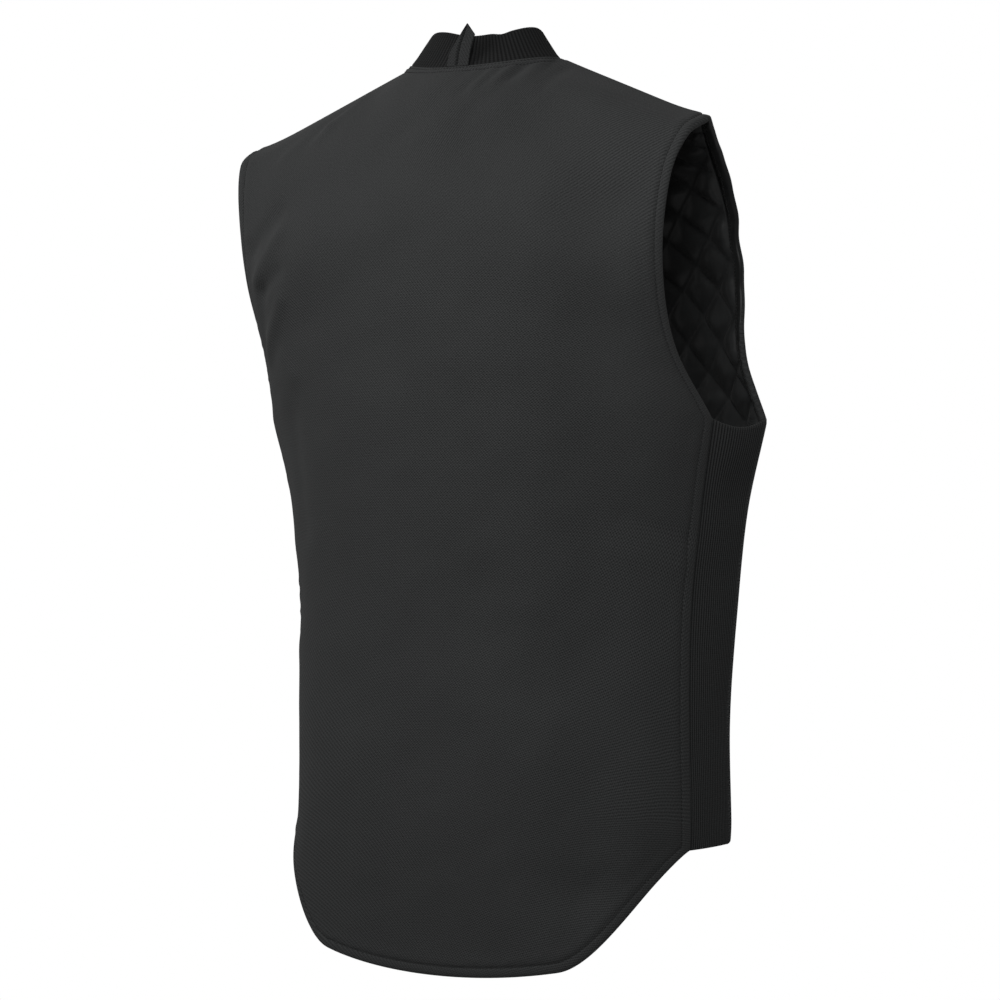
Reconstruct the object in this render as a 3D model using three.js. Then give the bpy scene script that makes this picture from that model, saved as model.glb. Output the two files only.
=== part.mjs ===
import * as THREE from "three";

// Insulated work vest, kept in the form it has when worn.
// Sizes are millimetres: x runs to the wearer's left, y to the back, z up.
// The origin lies on the body axis, level with the neck ends of the shoulder seams.

const GAP = 0.3; // clear space between neighbouring pieces
const CANVAS = 1.6; // duck canvas wall
const EDGE_DEEP = 5.6; // thickness of a rolled, stitched edge
const EDGE_WIDE = 10; // width of a rolled edge
const LINING = 2; // quilted lining at its stitch lines
const LINING_INSET = 0.8; // clear space round the lining's rim
const PUFF = 2.6; // swell of a quilted diamond between its stitch lines
const COLUMNS = 11; // columns from the centre line of a panel to its side edge
const NECK_COLUMN = 4; // column that ends at the neck end of the shoulder seam
const SIDE_ROWS = 15; // rows along the side edge, from the hem to the armpit
const ARM_ROWS = 11; // rows along the armhole edge, from the armpit to the shoulder
const TOP_BAND = 7; // height of the last row below the neck seam, along the armhole edge
const TAIL_SWEEP = 0.38; // share of the tail's rise that comes as an even sweep, the rest as a round turn
const TURN_START = 0.5; // share of the half width at which the tail's round turn starts

const CLOSURE = 14; // width kept free for the front closure
const NECK_HALF = 69; // half width of the neck seam
const NECK_Y = 22; // neck seam's sides, in depth
const NECK_BACK = 50; // reach of the neck seam behind its sides
const NECK_FRONT = 72; // reach of the neck seam in front of its sides
const NECK_BACK_DROP = 11.5; // drop of the neck seam at the centre back
const NECK_FRONT_DROP = 72; // drop of the neck seam at the centre front
const NECK_DIP = 1.7; // power by which the neck seam dips away from its sides
const TIP_X = 222; // outer end of a shoulder seam
const TIP_Y = 52;
const TIP_Z = -70;

const named = (names, rows) =>
  rows.map((row) => Object.fromEntries(names.map((name, k) => [name, row[k]])));

// A row per level of the back: edge point, centre line, fullness of the section at its middle and
// at its side, its turn outwards at the edge, and the shares of the tail's and of the yoke's shape.
const BACK = named(
  ["edgeX", "edgeY", "edgeZ", "midY", "midZ", "flat", "side", "turn", "tail", "yoke"],
  [
    [190, 20, -656, 106, -761, 0.64, 0.6, 12, 1, 0], // hem
    [188, 20, -565, 108, -625, 0.64, 0.6, 12, 0.6, 0], // hip
    [189, 19, -465, 108, -485, 0.64, 0.6, 12, 0.1, 0], // waist
    [197, 20, -380, 119, -385, 0.64, 0.56, 12, 0, 0], // ribs
    [210, 27, -306, 130, -290, 0.62, 0.54, 8, 0, 0], // armpit
    [196, 65, -250, 134, -220, 0.6, 0.48, 0, 0, 0], // shoulder blades
    [199, 91, -187, 133, -150, 0.6, 0.5, 0, 0, 0.06],
    [208, 93, -118, 118, -86, 0.6, 0.5, 0, 0, 0.4], // yoke
    [216, 79, -84, 99, -38, 0.6, 0.5, 0, 0, 0.72],
    [TIP_X, TIP_Y, TIP_Z, NECK_Y + NECK_BACK, -NECK_BACK_DROP, 0.6, 0.5, 0, 0, 1], // neck and shoulder
  ],
);

// The same columns for a front, from its centre edge to its side edge.
const FRONT = named(
  ["edgeX", "edgeY", "edgeZ", "midY", "midZ", "flat", "side", "turn", "tail", "yoke"],
  [
    [186.5, -64, -661, -122, -666, 0.6, 0.5, 10, 0, 0], // hem
    [183, -66, -565, -124, -570, 0.6, 0.5, 10, 0, 0], // hip
    [189, -69, -465, -126, -468, 0.6, 0.5, 10, 0, 0], // waist
    [197, -70, -380, -132, -382, 0.6, 0.5, 11, 0, 0], // ribs
    [214, -70, -306, -138, -304, 0.6, 0.5, 16, 0, 0], // armpit
    [194, -75, -250, -138, -245, 0.6, 0.5, 24, 0, 0.02], // chest
    [193, -77, -187, -130, -190, 0.6, 0.5, 24, 0, 0.12],
    [195, -58, -122, -104, -140, 0.6, 0.5, 22, 0, 0.5],
    [203, -18, -90, -76, -102, 0.6, 0.5, 18, 0, 0.8],
    [TIP_X, TIP_Y, TIP_Z, NECK_Y - NECK_FRONT, -NECK_FRONT_DROP, 0.6, 0.5, 10, 0, 1], // neck and shoulder
  ],
);

const ARMPIT = 4; // row of both tables at the armpit

// A row per height of how the worn vest hangs askew: height, shift sideways, lift of its left side.
const ASKEW = named(
  ["at", "shift", "lift"],
  [
    [-765, 6, 0],
    [-690, 4, 0],
    [-640, -1, 0],
    [-480, -1, 0],
    [-300, -3, 0],
    [-110, 0, 0.004],
    [-30, 0, 0.014],
    [30, 0, 0.06],
  ],
);

// A row per soft fold of the back: from and to in x and z, half width and swell.
const BACK_FOLDS = named(
  ["fromX", "fromZ", "toX", "toZ", "wide", "high"],
  [
    [150, -95, 180, -225, 26, 4],
    [105, -70, 155, -260, 30, 4],
    [172, -330, 176, -470, 24, -2],
    [60, -60, 120, -160, 30, 3],
    [-70, -60, -130, -190, 34, 3],
    [-120, -560, -165, -650, 30, 4],
    [-148, -150, -130, -670, 38, -8],
  ],
);

const FOLD_FADE = 2; // cells from an edge over which a fold fades

// Smooth curve through one column of a table at a given distance along the panel's edge.
function smooth(rows, key, at) {
  const last = rows.length - 1;
  let k = 0;
  while (k < last - 1 && at > rows[k + 1].at) k += 1;
  const rise = (a, b) => (rows[b][key] - rows[a][key]) / (rows[b].at - rows[a].at);
  const span = rows[k + 1].at - rows[k].at;
  const leave = rise(Math.max(k - 1, 0), k + 1) * span;
  const arrive = rise(k, Math.min(k + 2, last)) * span;
  const s = (at - rows[k].at) / span;
  const from = rows[k][key];
  const to = rows[k + 1][key];
  const curve = 3 * (to - from) - 2 * leave - arrive;
  const twist = 2 * (from - to) + leave + arrive;
  return from + s * (leave + s * (curve + s * twist));
}

const ease = (from, to, x) => THREE.MathUtils.smoothstep(x, from, to);

// Gives every row its distance along the panel's edge and splits the edge at the armpit.
function measured(rows) {
  let at = 0;
  rows.forEach((row, k) => {
    const before = rows[Math.max(k - 1, 0)];
    at += Math.hypot(row.edgeX - before.edgeX, row.edgeY - before.edgeY, row.edgeZ - before.edgeZ);
    row.at = at;
  });
  return { rows, low: rows.slice(0, ARMPIT + 1), high: rows.slice(ARMPIT), pit: rows[ARMPIT].at, end: at };
}

// Neck seam by its angle: 0 at the centre back, a right angle at the side.
function neckSeam(angle) {
  const cosine = Math.cos(angle);
  const reach = cosine > 0 ? NECK_BACK : NECK_FRONT;
  const drop = cosine > 0 ? NECK_BACK_DROP : NECK_FRONT_DROP;
  return new THREE.Vector3(
    NECK_HALF * Math.sin(angle),
    NECK_Y + reach * cosine,
    -drop * Math.abs(cosine) ** NECK_DIP,
  );
}

// One level of a panel as a curve from the centre line to the edge, measured by length.
function level(panel, at) {
  const edgeRows = at <= panel.pit ? panel.low : panel.high;
  const edge = ["edgeX", "edgeY", "edgeZ"].map((key) => smooth(edgeRows, key, at));
  const value = (key) => smooth(panel.rows, key, at);
  const midY = value("midY");
  const curve = new THREE.CubicBezierCurve(
    new THREE.Vector2(panel.start, midY),
    new THREE.Vector2(panel.start + value("flat") * (edge[0] - panel.start), midY),
    new THREE.Vector2(edge[0] - value("turn"), edge[1] + value("side") * (midY - edge[1])),
    new THREE.Vector2(edge[0], edge[1]),
  );
  return { curve, long: curve.getLength(), midZ: value("midZ"), edgeZ: edge[2], tail: value("tail") };
}

// Share of a level's length at which a column lies.
function share(long, column) {
  const step = (long - EDGE_WIDE) / (COLUMNS - 1);
  return column <= COLUMNS - 1 ? (column * step) / long : 1;
}

function onLevel(line, column) {
  const part = share(line.long, column);
  const point = line.curve.getPointAt(part);
  const sweep = part * part;
  const round = THREE.MathUtils.lerp(ease(TURN_START, 1, part), sweep, TAIL_SWEEP);
  const rise = THREE.MathUtils.lerp(sweep, round, line.tail);
  return new THREE.Vector3(point.x, point.y, THREE.MathUtils.lerp(line.midZ, line.edgeZ, rise));
}

// Point of the neck seam or shoulder seam at which a column ends.
function seam(panel, line, column) {
  if (column <= NECK_COLUMN) {
    const first = panel.front ? Math.PI - Math.asin(panel.start / NECK_HALF) : 0;
    return neckSeam(THREE.MathUtils.lerp(first, Math.PI / 2, column / NECK_COLUMN));
  }
  const from = share(line.long, NECK_COLUMN);
  const part = (share(line.long, column) - from) / (1 - from);
  return neckSeam(Math.PI / 2).lerp(new THREE.Vector3(TIP_X, TIP_Y, TIP_Z), part);
}

// Distance along the edge of each row of a panel.
function stations(panel) {
  const list = [0, EDGE_WIDE];
  for (let k = 2; k <= SIDE_ROWS; k += 1) {
    list.push(THREE.MathUtils.mapLinear(k, 1, SIDE_ROWS, EDGE_WIDE, panel.pit));
  }
  for (let k = 1; k < ARM_ROWS; k += 1) {
    list.push(THREE.MathUtils.mapLinear(k, 0, ARM_ROWS - 1, panel.pit, panel.end - TOP_BAND));
  }
  list.push(panel.end);
  return list;
}

function foldSwell(folds, x, z) {
  let swell = 0;
  for (const fold of folds) {
    const dx = fold.toX - fold.fromX;
    const dz = fold.toZ - fold.fromZ;
    const along = ((x - fold.fromX) * dx + (z - fold.fromZ) * dz) / (dx * dx + dz * dz);
    const near = THREE.MathUtils.clamp(along, 0, 1);
    const away = Math.hypot(x - fold.fromX - near * dx, z - fold.fromZ - near * dz);
    swell += fold.high * Math.exp(-((away / fold.wide) ** 2));
  }
  return swell;
}

const sideNormal = new THREE.Vector3(-TIP_Z, 0, TIP_X - NECK_HALF).normalize();

// Outer points and outward directions of a panel, row by row, for columns first to last.
function sheet(panel, first) {
  const rows = stations(panel);
  const top = rows.length - 1;
  const topLine = level(panel, panel.end);
  const points = rows.map((at, j) => {
    const line = level(panel, at);
    const yoke = smooth(panel.rows, "yoke", at);
    const out = [];
    for (let i = first; i <= COLUMNS; i += 1) {
      const column = Math.abs(i);
      const point = onLevel(line, column);
      const pull = seam(panel, topLine, column).sub(onLevel(topLine, column));
      const part = j === top ? 1 : yoke;
      pull.multiply(new THREE.Vector3(part, part, 1 - (1 - part) ** 2));
      point.add(pull);
      if (j === top && column >= NECK_COLUMN) point.y += panel.front ? -GAP / 2 : GAP / 2;
      if (i < 0) point.x = -point.x;
      out.push(point);
    }
    return out;
  });
  const wide = COLUMNS - first;
  const normals = points.map((row, j) =>
    row.map((point, i) => {
      const column = first + i;
      const ridge = new THREE.Vector3(sideNormal.x * Math.sign(column), 0, sideNormal.z);
      const nearSeam = j === top ? Math.min(Math.abs(column) / NECK_COLUMN, 1) : 0;
      const across = row[Math.min(i + 1, wide)].clone().sub(row[Math.max(i - 1, 0)]);
      const up = points[Math.min(j + 1, top)][i].clone().sub(points[Math.max(j - 1, 0)][i]);
      const normal = panel.front ? across.cross(up) : up.cross(across);
      return normal.normalize().lerp(ridge, nearSeam * nearSeam).normalize();
    }),
  );
  points.forEach((row, j) =>
    row.forEach((point, i) => {
      const edge = Math.min(j, top - j, wide - i, first < 0 ? i : wide);
      const swell = foldSwell(panel.folds, point.x, point.z) * ease(0, FOLD_FADE, edge);
      point.addScaledVector(normals[j][i], swell);
    }),
  );
  return { points, normals, wide, tall: top, first };
}

// Closed solid of small slabs: reach gives a cell's top and bottom level, place a corner's position.
function slabs(wide, tall, reach, place) {
  const index = new Map();
  const positions = [];
  const faces = [];
  const corner = (i, j, k) => {
    const key = `${i},${j},${k}`;
    if (!index.has(key)) {
      index.set(key, index.size);
      positions.push(...place(i, j, k).toArray());
    }
    return index.get(key);
  };
  const cell = (i, j) => (i >= 0 && j >= 0 && i < wide && j < tall ? reach(i, j) : null);
  const quad = (a, b, c, d, other) => {
    if (other) faces.push(a, b, d, b, c, d);
    else faces.push(a, b, c, a, c, d);
  };
  for (let j = 0; j < tall; j += 1) {
    for (let i = 0; i < wide; i += 1) {
      const own = cell(i, j);
      if (!own) continue;
      const odd = (i + j) % 2 === 1;
      const ring = [[i, j], [i + 1, j], [i + 1, j + 1], [i, j + 1]];
      const upper = ring.map(([a, b]) => corner(a, b, own[0]));
      const lower = ring.map(([a, b]) => corner(a, b, own[1]));
      quad(upper[0], upper[1], upper[2], upper[3], odd);
      quad(lower[0], lower[3], lower[2], lower[1], odd);
      const sides = [[i, j - 1], [i + 1, j], [i, j + 1], [i - 1, j]];
      sides.forEach(([a, b], s) => {
        const other = cell(a, b);
        for (let k = own[0]; k < own[1]; k += 1) {
          if (other && other[0] <= k && other[1] > k) continue;
          const p = ring[s];
          const q = ring[(s + 1) % 4];
          quad(corner(...p, k), corner(...p, k + 1), corner(...q, k + 1), corner(...q, k), false);
        }
      });
    }
  }
  const geometry = new THREE.BufferGeometry();
  geometry.setAttribute("position", new THREE.Float32BufferAttribute(positions, 3));
  geometry.setIndex(faces);
  return outward(geometry);
}

// Turns the faces of a closed solid outwards.
function outward(geometry) {
  const position = geometry.getAttribute("position");
  const index = geometry.getIndex();
  const [a, b, c] = [0, 1, 2].map(() => new THREE.Vector3());
  let volume = 0;
  for (let k = 0; k < index.count; k += 3) {
    a.fromBufferAttribute(position, index.getX(k));
    b.fromBufferAttribute(position, index.getX(k + 1));
    c.fromBufferAttribute(position, index.getX(k + 2));
    volume += a.dot(b.cross(c));
  }
  if (volume < 0) {
    for (let k = 0; k < index.count; k += 3) {
      const held = index.getX(k + 1);
      index.setX(k + 1, index.getX(k + 2));
      index.setX(k + 2, held);
    }
  }
  geometry.computeVertexNormals();
  return geometry;
}

function mirrored(geometry) {
  const copy = geometry.clone();
  copy.applyMatrix4(new THREE.Matrix4().makeScale(-1, 1, 1));
  return outward(copy);
}

const inwards = (net, i, j, depth) => net.points[j][i].clone().addScaledVector(net.normals[j][i], -depth);

// Tells whether a cell belongs to a rolled edge of its panel; shoulder seams have none.
function rolled(net, i, j) {
  const column = net.first + i;
  const out = column < 0 ? -column - 1 : column;
  if (j === 0 || i === net.wide - 1) return true;
  if (i === 0) return true;
  return j === net.tall - 1 && out < NECK_COLUMN;
}

function shellOf(net) {
  const depth = [0, CANVAS, EDGE_DEEP];
  return slabs(
    net.wide,
    net.tall,
    (i, j) => [0, rolled(net, i, j) ? 2 : 1],
    (i, j, k) => inwards(net, i, j, depth[k]),
  );
}

// Quilted lining in the tray that the rolled edges leave: pinched and swollen corners alternate.
function liningOf(net) {
  const has = (i, j) => i >= 0 && j >= 0 && i < net.wide && j < net.tall && !rolled(net, i, j);
  const place = (i, j, k) => {
    const swell = (i + j) % 2 === 1 ? PUFF : 0;
    const cells = [[i - 1, j - 1], [i, j - 1], [i - 1, j], [i, j]].filter(([a, b]) => has(a, b));
    const rim = cells.length < 4;
    const depth = CANVAS + GAP + (k ? LINING + (rim ? 0 : swell) : 0);
    const point = inwards(net, i, j, depth);
    if (!rim) return point;
    const middle = new THREE.Vector3();
    let count = 0;
    for (const [a, b] of cells) {
      for (const [p, q] of [[a, b], [a + 1, b], [a, b + 1], [a + 1, b + 1]]) {
        middle.add(inwards(net, p, q, depth));
        count += 1;
      }
    }
    middle.divideScalar(count);
    return point.addScaledVector(middle.sub(point).normalize(), LINING_INSET);
  };
  return slabs(net.wide, net.tall, (i, j) => (has(i, j) ? [0, 1] : null), place);
}

const backPanel = { ...measured(BACK), start: 0, front: false, folds: BACK_FOLDS };
const frontPanel = { ...measured(FRONT), start: CLOSURE / 2, front: true, folds: [] };
const back = sheet(backPanel, -COLUMNS);
const front = sheet(frontPanel, 0);

// Rib knit side panel between the side edges of back and front, set a little below their faces.
const RIB_CELLS = 4; // cells across
const RIB_DEEP = 3; // thickness
const RIB_RECESS = 2; // how far it lies below the canvas face
const RIB_BULGE = 2; // how far its middle stands out sideways
const RIB_DIP = 7; // sag of its top edge between the two armhole corners
const RIB_DIP_ROWS = 3; // rows over which the sag fades

function ribPoint(i, j, k) {
  const from = back.points[j][back.wide].clone();
  const to = front.points[j][COLUMNS].clone();
  const chord = to.clone().sub(from);
  const long = chord.length();
  const part = THREE.MathUtils.lerp(GAP / long, 1 - GAP / long, i / RIB_CELLS);
  const normal = back.normals[j][back.wide].clone().lerp(front.normals[j][COLUMNS], part).normalize();
  const arch = 4 * part * (1 - part);
  const point = from.addScaledVector(chord, part);
  point.x += RIB_BULGE * arch;
  point.z -= RIB_DIP * arch * ease(SIDE_ROWS - RIB_DIP_ROWS, SIDE_ROWS, j);
  return point.addScaledVector(normal, -RIB_RECESS - (k ? RIB_DEEP : 0));
}

const ribOf = () => slabs(RIB_CELLS, SIDE_ROWS, () => [0, 1], ribPoint);

// Rib knit collar on the neck seam, from one side of the closure round the back to the other.
const COLLAR_TALL = 25; // rise
const COLLAR_LEAN = 17; // how far its top leans inwards
const COLLAR_DEEP = 3.4; // thickness of the doubled knit
const COLLAR_RECESS = 1.6; // how far its foot lies below the canvas face
const COLLAR_LIFT = 1.4; // clear space between the collar's foot and the neck seam
const COLLAR_ROWS = 3;
const COLLAR_TURN = 0.4; // share of its height by which the collar has turned from the seam to its lean

// A row per angle from the centre back of how far the collar's top edge waves up or down.
const COLLAR_WAVE = named(
  ["at", "rise"],
  [
    [-180, 0],
    [-110, 1],
    [-80, 2.4],
    [-60, 1.7],
    [-48, 0.4],
    [-36, 2.2],
    [0, 3.3],
    [35, 5.4],
    [60, 2.6],
    [80, -2.5],
    [100, -5],
    [130, -3],
    [180, 0],
  ],
);

function collarRing() {
  const ring = [];
  const add = (net, i, side) => {
    const point = net.points[net.tall][i].clone();
    const normal = net.normals[net.tall][i].clone();
    point.x *= side;
    normal.x *= side;
    ring.push({ point, normal });
  };
  for (let i = 0; i < NECK_COLUMN; i += 1) add(front, i, 1);
  for (let i = NECK_COLUMN; i >= -NECK_COLUMN; i -= 1) add(back, COLUMNS + i, 1);
  for (let i = NECK_COLUMN - 1; i >= 0; i -= 1) add(front, i, -1);
  return ring;
}

const ring = collarRing();

function collarPoint(i, part, depth) {
  const { point, normal } = ring[i];
  const next = ring[Math.min(i + 1, ring.length - 1)].point;
  const past = ring[Math.max(i - 1, 0)].point;
  const away = normal.clone().cross(next.clone().sub(past)).normalize();
  const inside = new THREE.Vector3(-point.x, NECK_Y - point.y, 0).normalize();
  const side = new THREE.Vector3(-inside.x, -inside.y, COLLAR_LEAN / COLLAR_TALL).normalize();
  const facing = normal.clone().lerp(side, ease(0, COLLAR_TURN, part)).normalize();
  const foot = point.clone().addScaledVector(normal, -COLLAR_RECESS).addScaledVector(away, COLLAR_LIFT);
  const up = inside.clone().multiplyScalar(COLLAR_LEAN);
  const angle = THREE.MathUtils.radToDeg(Math.atan2(point.x, point.y - NECK_Y));
  up.z = COLLAR_TALL + smooth(COLLAR_WAVE, "rise", angle);
  return foot.addScaledVector(up, part).addScaledVector(facing, -depth);
}

function collarOf() {
  const last = ring.length - 1;
  return slabs(last, COLLAR_ROWS, () => [0, 1], (i, j, k) => {
    const point = collarPoint(i, j / COLLAR_ROWS, k ? COLLAR_DEEP : 0);
    if (i === 0) point.x = CLOSURE / 2;
    if (i === last) point.x = -CLOSURE / 2;
    return point;
  });
}

// Front closure: a tape with a raised chain, from the hem to the top of the collar.
const CHAIN_HALF = 2.6; // half width of the chain
const CHAIN_HIGH = 1.2; // how far the chain stands above the tape
const TAPE_DEEP = 2.2; // thickness of the tape
const TAPE_RECESS = 1.5; // how far the tape lies below the canvas face

function closureOf() {
  const line = front.points.map((row, j) => ({ point: row[0].clone(), normal: front.normals[j][0].clone() }));
  for (let j = 1; j <= COLLAR_ROWS; j += 1) {
    const point = collarPoint(0, j / COLLAR_ROWS, -TAPE_RECESS);
    const normal = point.clone().sub(collarPoint(0, j / COLLAR_ROWS, 1)).normalize();
    line.push({ point, normal });
  }
  const half = CLOSURE / 2 - GAP;
  const across = [-half, -CHAIN_HALF, CHAIN_HALF, half];
  const depth = [TAPE_RECESS - CHAIN_HIGH, TAPE_RECESS, TAPE_RECESS + TAPE_DEEP];
  return slabs(
    3,
    line.length - 1,
    (i) => (i === 1 ? [0, 2] : [1, 2]),
    (i, j, k) => {
      const { point, normal } = line[j];
      const flat = new THREE.Vector3(0, normal.y, normal.z).normalize();
      const spot = point.clone().addScaledVector(flat, -depth[k]);
      spot.x = across[i];
      return spot;
    },
  );
}

// Hanger loop: a folded canvas tape, two legs side by side with a slit between them.
const LOOP_DEEP = 1.8; // thickness of the tape
const LOOP_LEAN = 0.2; // forward lean per height
const LOOP_SET = -0.6; // how far the loop's front stands behind the neck seam

function loopOf() {
  const outline = [
    [9.2, 0], [8.2, 9], [5, 16], [1, 23], [-1.8, 28], [-6.2, 35],
    [-15, 25.5], [-12.9, 17], [-12, 9], [-11.6, 0],
    [-1.2, 0], [-1.4, 9], [-2.8, 18], [-4.9, 26], [-3.9, 26], [-1.3, 18], [0.3, 9], [0.5, 0],
  ];
  const shape = new THREE.Shape(outline.map(([x, z]) => new THREE.Vector2(x, z)));
  const geometry = new THREE.ExtrudeGeometry(shape, { depth: LOOP_DEEP, bevelEnabled: false, steps: 1 });
  const foot = ring[Math.floor(ring.length / 2)].point;
  const position = geometry.getAttribute("position");
  for (let k = 0; k < position.count; k += 1) {
    const [x, z, y] = [position.getX(k), position.getY(k), position.getZ(k)];
    position.setXYZ(k, x, foot.y + LOOP_SET + y - LOOP_LEAN * z, foot.z + GAP + z);
  }
  geometry.deleteAttribute("normal");
  geometry.deleteAttribute("uv");
  geometry.setIndex([...Array(position.count).keys()]);
  return outward(geometry);
}

const canvas = () => new THREE.MeshStandardMaterial({ color: 0x3a3c3c, roughness: 0.9 });
const knit = () => new THREE.MeshStandardMaterial({ color: 0x202121, roughness: 0.95 });
const satin = () => new THREE.MeshStandardMaterial({ color: 0x141416, roughness: 0.5 });
const plastic = () => new THREE.MeshStandardMaterial({ color: 0x26262a, roughness: 0.4 });

const vest = new THREE.Group();
vest.name = "vest";

function askew(geometry) {
  const position = geometry.getAttribute("position");
  for (let k = 0; k < position.count; k += 1) {
    const [x, y, z] = [position.getX(k), position.getY(k), position.getZ(k)];
    const at = THREE.MathUtils.clamp(z, ASKEW[0].at, ASKEW[ASKEW.length - 1].at);
    position.setXYZ(k, x + smooth(ASKEW, "shift", at), y, z + x * smooth(ASKEW, "lift", at));
  }
  geometry.computeVertexNormals();
  return geometry;
}

function add(name, geometry, material) {
  const mesh = new THREE.Mesh(askew(geometry), material);
  mesh.name = name;
  vest.add(mesh);
}

const frontShell = shellOf(front);
const frontLining = liningOf(front);
const rib = ribOf();

add("back_panel", shellOf(back), canvas());
add("front_panel_right", mirrored(frontShell), canvas());
add("front_panel_left", frontShell, canvas());
add("side_rib_right", mirrored(rib), knit());
add("side_rib_left", rib, knit());
add("collar", collarOf(), knit());
add("hanger_loop", loopOf(), canvas());
add("lining_back", liningOf(back), satin());
add("lining_front_right", mirrored(frontLining), satin());
add("lining_front_left", frontLining, satin());
add("front_zip", closureOf(), plastic());

export default vest;
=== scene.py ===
"""Insulated work vest in its worn form: canvas, rib knit, quilted lining and stitching."""
import math

import bpy
import numpy as np
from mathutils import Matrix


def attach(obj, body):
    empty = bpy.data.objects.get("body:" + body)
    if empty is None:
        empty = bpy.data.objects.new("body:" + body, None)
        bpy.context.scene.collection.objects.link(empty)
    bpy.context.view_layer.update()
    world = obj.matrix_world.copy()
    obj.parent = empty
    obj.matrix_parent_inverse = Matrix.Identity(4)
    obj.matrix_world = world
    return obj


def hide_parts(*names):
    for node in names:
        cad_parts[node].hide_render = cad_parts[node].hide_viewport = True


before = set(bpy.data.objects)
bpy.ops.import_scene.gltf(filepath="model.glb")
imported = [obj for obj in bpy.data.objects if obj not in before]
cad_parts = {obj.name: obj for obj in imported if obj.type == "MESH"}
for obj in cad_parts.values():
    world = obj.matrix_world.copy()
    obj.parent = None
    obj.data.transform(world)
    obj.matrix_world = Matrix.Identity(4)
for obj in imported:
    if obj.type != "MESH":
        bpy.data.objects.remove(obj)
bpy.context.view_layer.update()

# Lengths are millimetres until a mesh is made.
MM = 0.001
TURN = 2 * math.pi

# Sizes shared with the part's source.
GAP = 0.3
CANVAS = 1.6
EDGE_DEEP = 5.6
EDGE_WIDE = 10.0
LINING = 2.0
COLUMNS = 11
NECK_COLUMN = 4
TOP_BAND = 7.0
TAIL_SWEEP = 0.38
TURN_START = 0.5
CLOSURE = 14.0
NECK_HALF = 69.0
NECK_Y = 22.0
NECK_BACK = 50.0
NECK_FRONT = 72.0
NECK_BACK_DROP = 11.5
NECK_FRONT_DROP = 72.0
NECK_DIP = 1.7
TIP = np.array([222.0, 52.0, -70.0])
ARMPIT = 4

# How far sewn edges reach into each other, so that no light shows through a seam.
SEAM_TUCK = 0.5

# Columns over which the turn at the neck corner is softened, and how soon that ends towards the seam.
SEAM_SOFT = 1.5
SEAM_POWER = 7

# A row per level: edge point, centre line, fullness at middle and side, turn at the edge, tail, yoke.
FIELDS = ("edge_x", "edge_y", "edge_z", "mid_y", "mid_z", "flat", "side", "turn", "tail", "yoke")
BACK = (
    (190, 20, -656, 106, -761, 0.64, 0.6, 12, 1, 0),
    (188, 20, -565, 108, -625, 0.64, 0.6, 12, 0.6, 0),
    (189, 19, -465, 108, -485, 0.64, 0.6, 12, 0.1, 0),
    (197, 20, -380, 119, -385, 0.64, 0.56, 12, 0, 0),
    (210, 27, -306, 130, -290, 0.62, 0.54, 8, 0, 0),
    (196, 65, -250, 134, -220, 0.6, 0.48, 0, 0, 0),
    (199, 91, -187, 133, -150, 0.6, 0.5, 0, 0, 0.06),
    (208, 93, -118, 118, -86, 0.6, 0.5, 0, 0, 0.4),
    (216, 79, -84, 99, -38, 0.6, 0.5, 0, 0, 0.72),
    (TIP[0], TIP[1], TIP[2], NECK_Y + NECK_BACK, -NECK_BACK_DROP, 0.6, 0.5, 0, 0, 1),
)
FRONT = (
    (186.5, -64, -661, -122, -666, 0.6, 0.5, 10, 0, 0),
    (183, -66, -565, -124, -570, 0.6, 0.5, 10, 0, 0),
    (189, -69, -465, -126, -468, 0.6, 0.5, 10, 0, 0),
    (197, -70, -380, -132, -382, 0.6, 0.5, 11, 0, 0),
    (214, -70, -306, -138, -304, 0.6, 0.5, 16, 0, 0),
    (194, -75, -250, -138, -245, 0.6, 0.5, 24, 0, 0.02),
    (193, -77, -187, -130, -190, 0.6, 0.5, 24, 0, 0.12),
    (195, -58, -122, -104, -140, 0.6, 0.5, 22, 0, 0.5),
    (203, -18, -90, -76, -102, 0.6, 0.5, 18, 0, 0.8),
    (TIP[0], TIP[1], TIP[2], NECK_Y - NECK_FRONT, -NECK_FRONT_DROP, 0.6, 0.5, 10, 0, 1),
)

# How the worn vest hangs askew: height, shift sideways, lift of its left side.
ASKEW = np.array(
    (
        (-765, 6, 0),
        (-690, 4, 0),
        (-640, -1, 0),
        (-480, -1, 0),
        (-300, -3, 0),
        (-110, 0, 0.004),
        (-30, 0, 0.014),
        (30, 0, 0.06),
    ),
    float,
)

# Soft folds of the back: from x and z, to x and z, half width, swell.
BACK_FOLDS = (
    (150, -95, 180, -225, 26, 4),
    (105, -70, 155, -260, 30, 4),
    (172, -330, 176, -470, 24, -2),
    (60, -60, 120, -160, 30, 3),
    (-70, -60, -130, -190, 34, 3),
    (-120, -560, -165, -650, 30, 4),
    (-148, -150, -130, -670, 38, -8),
)

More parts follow.
